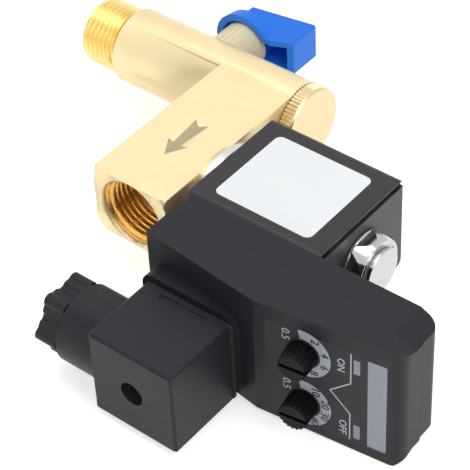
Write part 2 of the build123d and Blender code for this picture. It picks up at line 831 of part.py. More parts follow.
def end_bevel(edge_z, side, inset):
    """Corner taken off the timer's end, above or below, that narrows towards the front."""
    start = Vector(timer_right_x - end_bevel_length, timer_rear_y - bevel_full_depth, edge_z)
    down = Vector(end_bevel_length, 0, -side * end_bevel_drop)
    narrowing = Vector(bevel_fade, timer_front_right_y - timer_rear_y + bevel_full_depth, 0)
    across = Vector(end_bevel_drop, 0, side * end_bevel_length)
    with BuildPart() as corner:
        with Locations((timer_right_x, timer_split_y, edge_z)):
            Box(4 * end_bevel_length, 2 * timer_bend_depth, 4 * end_bevel_drop)
        for facing in (across, narrowing.cross(down) * side):
            facet = Plane(origin=start, x_dir=down, z_dir=facing)
            split(bisect_by=facet.offset(-inset), keep=Keep.TOP)
    return corner.part


def timer_form(inset=0.0):
    """Closed body of the timer: a shallow V in plan, flared in height, its far end bevelled."""
    with BuildPart() as form:
        with BuildSketch(Plane.XY.offset(timer_right_bottom)):
            with BuildLine():
                Polyline(
                    (timer_left_x, timer_rear_y),
                    (timer_left_x, timer_front_left_y),
                    (timer_bend_x, timer_bend_y),
                    (timer_right_x, timer_front_right_y),
                    (timer_right_x, timer_rear_y),
                    close=True,
                )
            make_face()
            fillet(vertices().group_by(Axis.X)[-1], radius=timer_corner)
            if inset:
                offset(amount=-inset, kind=Kind.INTERSECTION)
        extrude(amount=timer_right_top - timer_right_bottom)
        with BuildSketch(out_of_front(timer_rear_y)):
            Polygon(
                (timer_left_x, timer_left_top),
                (timer_right_x, timer_right_top),
                (timer_right_x, timer_right_bottom),
                (timer_left_x, timer_left_bottom),
                align=None,
            )
            if inset:
                offset(amount=-inset, kind=Kind.INTERSECTION)
        extrude(amount=timer_bend_depth, mode=Mode.INTERSECT)
        add(end_bevel(timer_right_top, 1, inset), mode=Mode.SUBTRACT)
        add(end_bevel(timer_right_bottom, -1, inset), mode=Mode.SUBTRACT)
    return form.part


def panel_opening(centre, width, height, z, depth):
    """Box cut square to the control panel, from its face inwards."""
    with BuildPart() as form:
        with BuildSketch(panel_plane(centre, z, cut_margin)):
            Rectangle(width, height)
        extrude(amount=-depth - cut_margin)
    return form.part


def seam_groove():
    """Thin band round the timer's outside, on the joint between its two halves."""
    with BuildPart() as band:
        add(timer_form())
        add(timer_form(timer_seam), mode=Mode.SUBTRACT)
        split(bisect_by=Plane.XZ.offset(-timer_split_y - timer_seam / 2), keep=Keep.BOTTOM)
        split(bisect_by=Plane.XZ.offset(-timer_split_y + timer_seam / 2), keep=Keep.TOP)
    return band.part


panel_centre = (panel_start + panel_end) / 2
panel_middle_z = (panel_top + panel_bottom) / 2
panel_length = panel_end - panel_start
panel_height = panel_top - panel_bottom
dial_places = ((dial_centre, dial_upper_z), (dial_centre, dial_lower_z))
lamp_places = ((lamp_centre, lamp_upper_z), (lamp_centre, lamp_lower_z))
case_behind_panel = panel_thickness + timer_wall
shaft_hole_radius = shaft_radius + shell_clearance
platform_middle_z = (socket_platform_top + socket_platform_bottom) / 2
platform_height = socket_platform_top - socket_platform_bottom
socket_block_y = timer_rear_y - blade_reach
platform_block_y = timer_front_left_y + terminal_root_depth

timer_split = Plane(origin=(0, timer_split_y, 0), z_dir=(0, 1, 0))

with BuildPart() as timer_rear_case:
    add(timer_form())
    add(timer_form(timer_wall), mode=Mode.SUBTRACT)
    split(bisect_by=timer_split, keep=Keep.TOP)
    add(seam_groove(), mode=Mode.SUBTRACT)
    add(blades(0, timer_rear_y, socket_block_y), mode=Mode.SUBTRACT)
save("timer_rear_case", timer_rear_case.part)

with BuildPart() as timer_front_case:
    add(timer_form())
    with BuildSketch(out_of_front(timer_split_y, plug_x, platform_middle_z)):
        RectangleRounded(socket_platform_width, platform_height, timer_corner)
    extrude(amount=timer_split_y - socket_platform_y)
    add(timer_form(timer_wall), mode=Mode.SUBTRACT)
    split(bisect_by=timer_split, keep=Keep.BOTTOM)
    add(seam_groove(), mode=Mode.SUBTRACT)
    add(panel_opening(panel_centre, panel_length, panel_height, panel_middle_z, panel_thickness),
        mode=Mode.SUBTRACT)
    for along, z in lamp_places:
        add(panel_opening(along, lamp_width, lamp_height, z, case_behind_panel),
            mode=Mode.SUBTRACT)
    for along, z in dial_places:
        with BuildSketch(panel_plane(along, z)):
            Circle(shaft_hole_radius)
        extrude(amount=-case_behind_panel - cut_margin, mode=Mode.SUBTRACT)
    add(blades(plug_centre_z, platform_block_y, socket_platform_y), mode=Mode.SUBTRACT)
    with BuildSketch(out_of_front(socket_platform_y, plug_x, plug_centre_z)):
        Circle(screw_shank_radius + slide_clearance)
    extrude(amount=-screw_engagement - thread_hole_extra, mode=Mode.SUBTRACT)
save("timer_front_case", timer_front_case.part)

with BuildPart() as timer_socket:
    with BuildSketch(out_of_front(timer_rear_y - timer_wall, plug_x)):
        Rectangle(socket_block_width, socket_block_width)
    extrude(amount=blade_reach - timer_wall)
    add(blades(0, timer_rear_y, socket_block_y), mode=Mode.SUBTRACT)
save("timer_socket", timer_socket.part)

# ---------------------------------------------------------------- control panel
with BuildPart() as timer_panel:
    add(panel_opening(panel_centre, panel_length, panel_height, panel_middle_z, panel_thickness))
    split(bisect_by=panel_plane(), keep=Keep.BOTTOM)
    for along, z in lamp_places:
        add(panel_opening(along, lamp_width, lamp_height, z, case_behind_panel),
            mode=Mode.SUBTRACT)
    for along, z in dial_places:
        with BuildSketch(panel_plane(along, z)):
            Circle(shaft_hole_radius)
        extrude(amount=-panel_thickness, mode=Mode.SUBTRACT)
save("timer_panel", timer_panel.part)

with BuildPart() as timer_lamps:
    for along, z in lamp_places:
        with BuildSketch(panel_plane(along, z)):
            Rectangle(lamp_width, lamp_height)
        extrude(amount=-case_behind_panel)
save("timer_lamps", timer_lamps.part)

pot_front = -case_behind_panel
board_front = pot_front - pot_thickness
with BuildPart() as timer_potentiometers:
    for along, z in dial_places:
        with BuildSketch(panel_plane(along, z, pot_front)):
            Circle(pot_radius)
            Circle(shaft_radius + slide_clearance, mode=Mode.SUBTRACT)
        extrude(amount=-pot_thickness)
save("timer_potentiometers", timer_potentiometers.part)

with BuildPart() as circuit_board:
    with BuildSketch(panel_plane(panel_centre, panel_middle_z, board_front)):
        Rectangle(panel_length - 2 * board_end_margin, panel_height - 2 * board_side_margin)
    extrude(amount=-board_thickness)
save("circuit_board", circuit_board.part)

with BuildPart() as timer_relay:
    with BuildSketch(panel_plane(panel_centre, panel_middle_z, board_front - board_thickness)):
        Rectangle(relay_width, relay_height)
    extrude(amount=-relay_depth)
save("timer_relay", timer_relay.part)

for knob_name, (along, z) in zip(("knob_off_time", "knob_on_time"), dial_places):
    with BuildPart() as knob:
        with BuildSketch(panel_plane(along, z, turn_clearance)):
            Circle(knob_radius)
            with PolarLocations(knob_radius, knob_flutes):
                Circle(knob_flute_radius, mode=Mode.SUBTRACT)
        extrude(amount=knob_height - turn_clearance, taper=knob_draft)
        with BuildSketch(panel_plane(along, z, knob_height)):
            Rectangle(2 * knob_radius, knob_slot_width)
        extrude(amount=-knob_slot_depth, mode=Mode.SUBTRACT)
        with BuildSketch(panel_plane(along, z, turn_clearance)):
            Circle(shaft_radius)
        extrude(amount=pot_front - turn_clearance - pot_thickness + shaft_embed)
    save(knob_name, knob.part)

# ---------------------------------------------------------------- cable plug
plug_left_x = plug_x - plug_width / 2
plug_cavity_width = plug_width - 2 * plug_wall
plug_cavity_height = plug_height - 2 * plug_wall
gland_neck_left_x = plug_left_x - gland_neck_length
recess_floor_y = plug_front_y + screw_recess_depth
screw_seat_y = recess_floor_y + screw_seat_depth
cavity_floor_y = screw_seat_y + plug_wall


def neck_section(x):
    """Plane facing +X on the cable gland's axis."""
    return across_x(x, gland_y, plug_centre_z)


with BuildPart() as plug_housing:
    with BuildSketch(out_of_front(plug_rear_y, plug_x, plug_centre_z)):
        Rectangle(plug_width, plug_height)
    extrude(amount=plug_depth)
    fillet(plug_housing.edges().filter_by(Axis.Y), radius=plug_corner)
    chamfer(plug_housing.edges().group_by(Axis.Y)[0], length=plug_front_edge)
    with BuildSketch(Plane.XY.offset(plug_centre_z + plug_height / 2)):
        with Locations((plug_x, plug_rear_y - relief_from_rear)):
            SlotOverall(relief_length, relief_width)
    extrude(amount=-relief_depth, mode=Mode.SUBTRACT)
    with BuildSketch(neck_section(gland_neck_left_x)):
        Circle(gland_neck_radius)
    extrude(amount=plug_x - gland_neck_left_x)
    with BuildSketch(out_of_front(plug_rear_y, plug_x, plug_centre_z)):
        Rectangle(plug_cavity_width, plug_cavity_height)
    extrude(amount=plug_rear_y - cavity_floor_y, mode=Mode.SUBTRACT)
    with BuildSketch(neck_section(gland_neck_left_x)):
        Circle(gland_neck_bore_radius)
    extrude(amount=plug_left_x + plug_wall - gland_neck_left_x, mode=Mode.SUBTRACT)
    with BuildSketch(out_of_front(recess_floor_y, plug_x, plug_centre_z)):
        Circle(screw_recess_radius)
    extrude(amount=screw_recess_depth, mode=Mode.SUBTRACT)
    with BuildSketch(out_of_front(screw_seat_y, plug_x, plug_centre_z)):
        Circle(plug_screw_head_radius + slide_clearance)
    extrude(amount=screw_seat_depth, mode=Mode.SUBTRACT)
    with BuildSketch(out_of_front(cavity_floor_y, plug_x, plug_centre_z)):
        Circle(screw_shank_radius + slide_clearance)
    extrude(amount=plug_wall, mode=Mode.SUBTRACT)
save("plug_housing", plug_housing.part)

insert_front_y = plug_rear_y - insert_depth
with BuildPart() as plug_insert:
    with BuildSketch(out_of_front(plug_rear_y, plug_x, plug_centre_z)):
        Rectangle(plug_cavity_width, plug_cavity_height)
    extrude(amount=insert_depth)
    add(blades(plug_centre_z, plug_rear_y, insert_front_y, wall=contact_wall), mode=Mode.SUBTRACT)
    with BuildSketch(out_of_front(plug_rear_y, plug_x, plug_centre_z)):
        Circle(screw_shank_radius + slide_clearance)
    extrude(amount=insert_depth, mode=Mode.SUBTRACT)
save("plug_insert", plug_insert.part)

with BuildPart() as plug_contacts:
    add(blades(plug_centre_z, plug_rear_y, insert_front_y, wall=contact_wall))
    add(blades(plug_centre_z, plug_rear_y, insert_front_y + contact_wall), mode=Mode.SUBTRACT)
save("plug_contacts", plug_contacts.part)

with BuildPart() as timer_plug_pins:
    add(blades(plug_centre_z, platform_block_y, insert_front_y + 2 * contact_wall))
save("timer_plug_pins", timer_plug_pins.part)

with BuildPart() as plug_gasket:
    with BuildSketch(out_of_front(socket_platform_y, plug_x, plug_centre_z)):
        RectangleRounded(
            plug_width + 2 * plug_gasket_overhang,
            plug_height - 2 * plug_gasket_overhang,
            plug_corner,
        )
        for blade_x, blade_z, turn in blade_places:
            with Locations((blade_x, blade_z)):
                Rectangle(blade_thickness, blade_width, rotation=turn, mode=Mode.SUBTRACT)
        Circle(screw_shank_radius + slide_clearance, mode=Mode.SUBTRACT)
    extrude(amount=plug_gasket_thickness)
save("plug_gasket", plug_gasket.part)

screw_head_rear_y = screw_seat_y - end_clearance
screw_head_front_y = screw_head_rear_y - plug_screw_head_height
screw_end_y = socket_platform_y + screw_engagement
with BuildPart() as plug_screw:
    with BuildSketch(out_of_front(screw_head_rear_y, plug_x, plug_centre_z)):
        Circle(plug_screw_head_radius)
    extrude(amount=plug_screw_head_height)
    with BuildSketch(out_of_front(screw_end_y, plug_x, plug_centre_z)):
        Circle(screw_shank_radius)
    extrude(amount=screw_end_y - screw_head_rear_y)
    with BuildSketch(out_of_front(screw_head_front_y, plug_x, plug_centre_z)):
        Rectangle(2 * plug_screw_head_radius, driver_slot_width)
    extrude(amount=-driver_slot_depth, mode=Mode.SUBTRACT)
save("plug_screw", plug_screw.part)

# ---------------------------------------------------------------- cable gland
gland_nut_right_x = gland_neck_left_x - turn_clearance
gland_nut_left_x = gland_nut_right_x - gland_nut_length
gland_flat_radius = (gland_nut_radius - gland_flat_depth) * math.cos(math.pi / gland_nut_lobes)
gland_dent_place = gland_flat_radius + gland_dent_radius - gland_dent_depth
nut_spigot_radius = gland_neck_bore_radius - slide_clearance
nut_spigot_right_x = gland_neck_left_x + gland_spigot_length
washer_x = nut_spigot_right_x + slide_clearance
seal_x = washer_x + gland_washer_thickness
with BuildPart() as gland_nut:
    with BuildSketch(neck_section(gland_nut_left_x)):
        RegularPolygon(gland_nut_radius - gland_flat_depth, gland_nut_lobes)
        with PolarLocations(gland_nut_radius - gland_lobe_radius, gland_nut_lobes):
            Circle(gland_lobe_radius)
        with PolarLocations(gland_dent_place, gland_nut_lobes, start_angle=180 / gland_nut_lobes):
            Circle(gland_dent_radius, mode=Mode.SUBTRACT)
    extrude(amount=gland_nut_length)
    with BuildSketch(neck_section(gland_nut_right_x)):
        Circle(nut_spigot_radius)
    extrude(amount=nut_spigot_right_x - gland_nut_right_x)
    with BuildSketch(neck_section(gland_nut_left_x)):
        Circle(cable_entry_radius)
    extrude(amount=nut_spigot_right_x - gland_nut_left_x, mode=Mode.SUBTRACT)
save("gland_nut", gland_nut.part)

with BuildPart() as gland_washer:
    with BuildSketch(neck_section(washer_x)):
        Circle(gland_neck_bore_radius)
        Circle(cable_entry_radius, mode=Mode.SUBTRACT)
    extrude(amount=gland_washer_thickness)
save("gland_washer", gland_washer.part)

with BuildPart() as gland_seal:
    with BuildSketch(neck_section(seal_x)):
        Circle(gland_neck_bore_radius)
        Circle(cable_entry_radius - seal_squeeze, mode=Mode.SUBTRACT)
    extrude(amount=gland_seal_length)
save("gland_seal", gland_seal.part)
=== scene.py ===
import json
import logging
import math
from dataclasses import dataclass, field
from enum import Enum

import bmesh
import bpy
from mathutils import Matrix, Vector


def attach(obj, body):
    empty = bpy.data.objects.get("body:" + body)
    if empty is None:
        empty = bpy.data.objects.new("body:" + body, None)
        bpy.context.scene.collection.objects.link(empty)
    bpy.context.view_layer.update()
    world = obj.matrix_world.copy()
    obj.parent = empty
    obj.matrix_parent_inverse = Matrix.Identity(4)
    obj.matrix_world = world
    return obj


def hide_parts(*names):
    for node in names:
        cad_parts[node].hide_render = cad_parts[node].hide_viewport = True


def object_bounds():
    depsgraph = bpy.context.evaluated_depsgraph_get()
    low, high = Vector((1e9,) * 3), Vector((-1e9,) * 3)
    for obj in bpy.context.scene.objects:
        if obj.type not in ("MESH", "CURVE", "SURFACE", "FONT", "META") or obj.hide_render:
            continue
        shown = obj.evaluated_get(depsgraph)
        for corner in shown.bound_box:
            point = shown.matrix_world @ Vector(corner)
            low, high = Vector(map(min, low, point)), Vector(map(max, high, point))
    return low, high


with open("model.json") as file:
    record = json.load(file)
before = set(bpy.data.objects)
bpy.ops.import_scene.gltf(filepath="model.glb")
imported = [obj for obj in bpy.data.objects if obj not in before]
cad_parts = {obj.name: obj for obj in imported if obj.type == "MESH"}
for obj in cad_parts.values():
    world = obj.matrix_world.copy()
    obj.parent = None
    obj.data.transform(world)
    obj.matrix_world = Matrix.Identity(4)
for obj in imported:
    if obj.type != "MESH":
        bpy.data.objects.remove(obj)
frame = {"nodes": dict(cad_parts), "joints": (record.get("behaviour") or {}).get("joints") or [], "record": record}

logging.basicConfig(level=logging.INFO, format="%(levelname)s %(message)s")
log = logging.getLogger("drain_valve")

MM = 0.001
WELD_DISTANCE = 0.0005 * MM
LETTER_HEIGHT = 1.42  # font size for letters one unit high
CAD_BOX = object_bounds()
Colour = tuple[float, float, float]
NODES: dict[str, bpy.types.Object] = frame["nodes"]
JOINTS = {joint["name"]: joint for joint in frame["joints"]}
MOUNTS = {mount["name"]: mount for mount in frame["record"]["mounts"]}


# ------------------------------------------------------------------ finishes


class Streak(Enum):
    """Which way the marks of a finish run, as a stretch of the texture along X, Y and Z."""

    NONE = (1.0, 1.0, 1.0)
    ACROSS_X = (1.0, 0.05, 0.05)


class Turning(Enum):
    """Axis that a lathe-turned face was spun about, for its fan-shaped highlights."""

    NONE = ""
    X = "X"


class Graph:
    """Node tree of one material, with short calls for the nodes that the finishes use."""

    def __init__(self, name: str) -> None:
        """Start a material that has only its shader and output.

        Args:
            name: Name of the new material.
        """
        self.material = bpy.data.materials.new(name)
        self.material.use_nodes = True
        self.tree = self.material.node_tree
        self.tree.nodes.clear()
        self.shader = self.add("ShaderNodeBsdfPrincipled")
        output = self.add("ShaderNodeOutputMaterial")
        self.tree.links.new(self.shader.outputs["BSDF"], output.inputs["Surface"])

    def add(self, kind: str, **values: object) -> bpy.types.Node:
        """Add a node and fill in its sockets.

        Args:
            kind: Blender's name for the node type.
            values: Socket values by socket name, with underscores for spaces.

        Returns:
            The new node.
        """
        node = self.tree.nodes.new(kind)
        for key, value in values.items():
            node.inputs[key.replace("_", " ")].default_value = value
        return node

    def link(self, source: bpy.types.NodeSocket, target: bpy.types.NodeSocket) -> None:
        """Join an output socket to an input socket."""
        self.tree.links.new(source, target)

    def place(self, stretch: Colour = (1.0, 1.0, 1.0)) -> bpy.types.NodeSocket:
        """Coordinates fixed to the piece, in metres, stretched along each axis.

        Args:
            stretch: Factor along X, Y and Z.

        Returns:
            The vector socket to feed a texture.
        """
        where = self.add("ShaderNodeTexCoord")
        mapping = self.add("ShaderNodeMapping", Scale=stretch)
        self.link(where.outputs["Object"], mapping.inputs["Vector"])
        return mapping.outputs["Vector"]

    def noise(self, place: bpy.types.NodeSocket, scale: float, detail: float) -> bpy.types.NodeSocket:
        """Fractal noise from 0 to 1.

        Args:
            place: Vector socket with the coordinates.
            scale: Features per metre.
            detail: Octaves of finer noise.

        Returns:
            The factor socket.
        """
        texture = self.add("ShaderNodeTexNoise", Scale=scale, Detail=detail, Roughness=0.6)
        self.link(place, texture.inputs["Vector"])
        return texture.outputs["Fac"]

    def spread(self, factor: bpy.types.NodeSocket, low: float, high: float) -> bpy.types.NodeSocket:
        """Map a noise factor, which stays mostly between 0.3 and 0.7, to a range.

        Args:
            factor: Socket with the noise.
            low: Result at 0.3.
            high: Result at 0.7.

        Returns:
            The mapped value's socket.
        """
        span = self.add("ShaderNodeMapRange", From_Min=0.3, From_Max=0.7, To_Min=low, To_Max=high)
        self.link(factor, span.inputs["Value"])
        return span.outputs["Result"]

    def blend(self, factor: bpy.types.NodeSocket, dark: Colour, light: Colour) -> bpy.types.NodeSocket:
        """Blend between two colours.

        Args:
            factor: Socket with the noise.
            dark: Colour at the low end.
            light: Colour at the high end.

        Returns:
            The colour socket.
        """
        ramp = self.add("ShaderNodeValToRGB")
        ramp.color_ramp.elements[0].position = 0.3
        ramp.color_ramp.elements[1].position = 0.7
        ramp.color_ramp.elements[0].color = (*dark, 1.0)
        ramp.color_ramp.elements[1].color = (*light, 1.0)
        self.link(factor, ramp.inputs["Fac"])
        return ramp.outputs["Color"]

    def bump(self, height: bpy.types.NodeSocket, depth: float) -> None:
        """Raise the surface by a height map.

        Args:
            height: Socket with the height from 0 to 1.
            depth: Full height in metres.
        """
        node = self.add("ShaderNodeBump", Strength=1.0, Distance=depth)
        previous = self.shader.inputs["Normal"]
        if previous.is_linked:
            self.link(previous.links[0].from_socket, node.inputs["Normal"])
        self.link(height, node.inputs["Height"])
        self.link(node.outputs["Normal"], previous)


@dataclass(frozen=True)
class Finish:
    """A surface finish with slow colour changes, uneven gloss and fine relief."""

    name: str
    colour: Colour
    roughness: float = 0.45
    metallic: float = 0.0
    variation: float = 0.06
    patch: float = 90.0
    grain: float = 2500.0
    grain_depth: float = 0.01 * MM
    gloss_spread: float = 0.05
    streak: Streak = Streak.NONE
    turning: Turning = Turning.NONE
    anisotropy: float = 0.0
    specular: float = 0.5
    coat: float = 0.0

    def shade(self, amount: float) -> Colour:
        """The finish's colour made lighter or darker by a share."""
        return tuple(min(1.0, channel * (1.0 + amount)) for channel in self.colour)

    def material(self) -> bpy.types.Material:
        """Build the finish's material, once.

        Returns:
            The material, shared by every piece with this finish.
        """
        found = bpy.data.materials.get(self.name)
        if found:
            return found
        graph = Graph(self.name)
        shader = graph.shader
        shader.inputs["Metallic"].default_value = self.metallic
        shader.inputs["Specular IOR Level"].default_value = self.specular
        shader.inputs["Coat Weight"].default_value = self.coat
        slow = graph.noise(graph.place(), self.patch, 3.0)
        fine = graph.noise(graph.place(self.streak.value), self.grain, 2.0)
        tint = graph.blend(slow, self.shade(-self.variation), self.shade(self.variation))
        graph.link(tint, shader.inputs["Base Color"])
        gloss = graph.spread(fine, self.roughness - self.gloss_spread, self.roughness + self.gloss_spread)
        graph.link(gloss, shader.inputs["Roughness"])
        graph.bump(fine, self.grain_depth)
        if self.turning is not Turning.NONE:
            tangent = graph.add("ShaderNodeTangent")
            tangent.direction_type = "RADIAL"
            tangent.axis = self.turning.value
            shader.inputs["Anisotropic"].default_value = self.anisotropy
            graph.link(tangent.outputs["Tangent"], shader.inputs["Tangent"])
        self.extend(graph)
        return graph.material

    def extend(self, graph: Graph) -> None:
        """Add what a special finish needs beyond the common one."""

    def dress(self, *pieces: bpy.types.Object) -> None:
        """Give pieces this finish, in place of any they have."""
        for piece in pieces:
            piece.data.materials.clear()
            piece.data.materials.append(self.material())


@dataclass(frozen=True)
class MouldedPlastic(Finish):
    """Black or coloured plastic from a spark-eroded mould, with a fine even texture."""

    pit: float = 5200.0
    pit_depth: float = 0.008 * MM

    def extend(self, graph: Graph) -> None:
        """Add the mould's texture of small rounded pits."""
        cells = graph.add("ShaderNodeTexVoronoi", Scale=self.pit)
        graph.link(graph.place(), cells.inputs["Vector"])
        graph.bump(cells.outputs["Distance"], self.pit_depth)


@dataclass(frozen=True)
class MachinedMetal(Finish):
    """Metal with the fine parallel marks of a lathe or mill."""

    marks: float = 9000.0
    marks_depth: float = 0.003 * MM

    def extend(self, graph: Graph) -> None:
        """Add cutting marks that run along the streak."""
        fine = graph.noise(graph.place(self.streak.value), self.marks, 1.0)
        graph.bump(fine, self.marks_depth)


BRASS = MachinedMetal("machined_brass", (0.93, 0.77, 0.45), 0.42, 0.72, variation=0.05, patch=45.0,
                      grain=700.0, grain_depth=0.001 * MM, gloss_spread=0.03, streak=Streak.ACROSS_X,
                      marks_depth=0.0008 * MM)
# Paler, nearly non-metallic brass for the bonnet: painted light that makes up for the light the handle keeps off
# it.
BONNET_LIT_BRASS = Finish("bonnet_painted_light_brass", (1.0, 0.86, 0.56), 0.60, 0.05, variation=0.04)
TURNED_BRASS = MachinedMetal("turned_brass", (0.74, 0.64, 0.46), 0.26, 1.0, variation=0.02,
                             grain=900.0, grain_depth=0.003 * MM, turning=Turning.X, anisotropy=0.8)
ETCHED_BRASS = Finish("etched_brass", (0.50, 0.43, 0.27), 0.70, 0.4, variation=0.08, patch=900.0)
STAINLESS = MachinedMetal("drawn_stainless", (0.74, 0.71, 0.69), 0.24, 1.0, variation=0.02,
                          turning=Turning.X, anisotropy=0.6)
ZINC = Finish("zinc_plated_steel", (0.66, 0.66, 0.67), 0.24, 1.0, variation=0.04, grain_depth=0.004 * MM)
BRIGHT_ZINC = Finish("bright_zinc", (0.86, 0.86, 0.85), 0.35, 0.4, variation=0.03, grain_depth=0.003 * MM)
CHROME = MachinedMetal("polished_chrome", (0.88, 0.87, 0.86), 0.07, 1.0, variation=0.01, patch=40.0,
                       grain=400.0, grain_depth=0.002 * MM, gloss_spread=0.02)
TURNED_CHROME = MachinedMetal("turned_chrome", (0.54, 0.53, 0.52), 0.13, 1.0, variation=0.02,
                              grain_depth=0.002 * MM, gloss_spread=0.03)
BLACK_PLASTIC = MouldedPlastic("black_moulding", (0.0150, 0.0152, 0.0205), 0.46, variation=0.06, specular=0.26)
COIL_BLACK = MouldedPlastic("coil_moulding", (0.018, 0.018, 0.022), 0.36, variation=0.05, specular=0.45)
KNOB_BLACK = MouldedPlastic("knob_moulding", (0.004, 0.004, 0.005), 0.45, variation=0.05, specular=0.12)
BLUE_PLASTIC = MouldedPlastic("blue_moulding", (0.018, 0.205, 0.93), 0.36, variation=0.03, specular=0.28,
                              pit=3000.0, pit_depth=0.003 * MM)
BLACK_STEEL = Finish("black_steel", (0.05, 0.05, 0.055), 0.4, 0.2)
RUBBER = Finish("black_rubber", (0.022, 0.022, 0.024), 0.62, variation=0.12, grain=1500.0)
PTFE = Finish("ptfe", (0.90, 0.90, 0.88), 0.35, variation=0.02)
WHITE_PLASTIC = MouldedPlastic("white_moulding", (0.82, 0.81, 0.78), 0.4, variation=0.03)
COPPER = Finish("enamelled_copper", (0.55, 0.22, 0.10), 0.3, 1.0, streak=Streak.ACROSS_X, grain=1200.0)
BOARD_GREEN = Finish("solder_mask", (0.02, 0.14, 0.06), 0.3, variation=0.15, patch=600.0)
LABEL_WHITE = Finish("label_film", (0.95, 0.975, 1.0), 0.30, variation=0.008, patch=120.0, coat=0.2)
PANEL_BLACK = Finish("panel_film", (0.010, 0.010, 0.012), 0.40, variation=0.08, patch=400.0, specular=0.3)
PRINT_GREY = Finish("print_grey", (0.46, 0.49, 0.56), 0.5, variation=0.03)
PRINT_PALE = Finish("print_pale", (0.62, 0.65, 0.70), 0.5, variation=0.03)
PRINT_BLACK = Finish("print_black", (0.006, 0.006, 0.008), 0.5, variation=0.05)
PRINT_WHITE = Finish("print_white", (0.55, 0.56, 0.58), 0.5, variation=0.02)
PLATE_BLUE = Finish("name_plate", (0.34, 0.37, 0.43), 0.4, variation=0.05, patch=300.0)
THREAD_BRASS = MachinedMetal("thread_brass", (0.95, 0.74, 0.33), 0.26, 1.0, variation=0.02)
# Darker, more orange brass for the outlet's threaded bore: painted shade and painted interreflection inside the
# recess.
BORE_SHADED_BRASS = MachinedMetal("bore_painted_shade_brass", (0.80, 0.47, 0.12), 0.28, 1.0, variation=0.04)
LENS_GREY = Finish("lamp_lens", (0.075, 0.08, 0.095), 0.12, variation=0.05, coat=0.6)


# ------------------------------------------------------------------ mesh helpers


def make_piece(name: str, mesh: bpy.types.Mesh, finish: Finish, body: str) -> bpy.types.Object:
    """Link a mesh as a named piece with its finish, riding on a body.

    Args:
        name: Name of the piece.
        mesh: Its mesh, in place in the shared frame.
        finish: Its finish.
        body: The body that carries it.

    Returns:
        The new object.
    """
    mesh.name = name
    piece = bpy.data.objects.new(name, mesh)
    bpy.context.scene.collection.objects.link(piece)
    finish.dress(piece)
    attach(piece, body)
    log.info("%s: %d faces on %s", name, len(mesh.polygons), body)
    return piece


def welded_copy(node: str) -> bmesh.types.BMesh:
    """A CAD node's mesh with its split edges joined again.

    Args:
        node: Name of the CAD node.

    Returns:
        A closed bmesh.
    """
    bm = bmesh.new()
    bm.from_mesh(NODES[node].data)
    bmesh.ops.remove_doubles(bm, verts=bm.verts, dist=WELD_DISTANCE)
    return bm


def smooth_by_angle(mesh: bpy.types.Mesh, degrees: float = 32.0) -> None:
    """Shade a mesh smooth, with edges steeper than an angle kept sharp.

    Args:
        mesh: The mesh.
        degrees: Largest angle that is smoothed.
    """
    mesh.polygons.foreach_set("use_smooth", [True] * len(mesh.polygons))
    mesh.set_sharp_from_angle(angle=math.radians(degrees))
    mesh.update()


def even_normals(piece: bpy.types.Object) -> None:
    """Keep large flat faces flat in shade, and let small roundings carry the change."""
    even = piece.modifiers.new("even", "WEIGHTED_NORMAL")
    even.weight = 90
    even.keep_sharp = True


def applied(piece: bpy.types.Object) -> bpy.types.Mesh:
    """A piece's mesh with its modifiers worked in."""
    graph = bpy.context.evaluated_depsgraph_get()
    return bpy.data.meshes.new_from_object(piece.evaluated_get(graph))


def cut_away(base: bpy.types.Mesh, cutters: list[bpy.types.Mesh]) -> bpy.types.Mesh:
    """Take solid cutters out of a solid mesh.

    Args:
        base: Closed mesh to cut.
        cutters: Closed meshes to take away.

    Returns:
        The cut mesh.
    """
    scene = bpy.context.scene.collection
    target = bpy.data.objects.new("cut_target", base)
    scene.objects.link(target)
    tools = []
    for mesh in cutters:
        tool = bpy.data.objects.new("cut_tool", mesh)
        scene.objects.link(tool)
        modifier = target.modifiers.new("cut", "BOOLEAN")
        modifier.operation = "DIFFERENCE"
        modifier.solver = "EXACT"
        modifier.object = tool
        tools.append(tool)
    bpy.context.view_layer.update()
    result = applied(target)
    for helper in (target, *tools):
        bpy.data.objects.remove(helper)
    return result


class Side(Enum):
    """Whether a thread is on the outside of its tube or in its bore."""

    MALE = "outside"
    FEMALE = "bore"


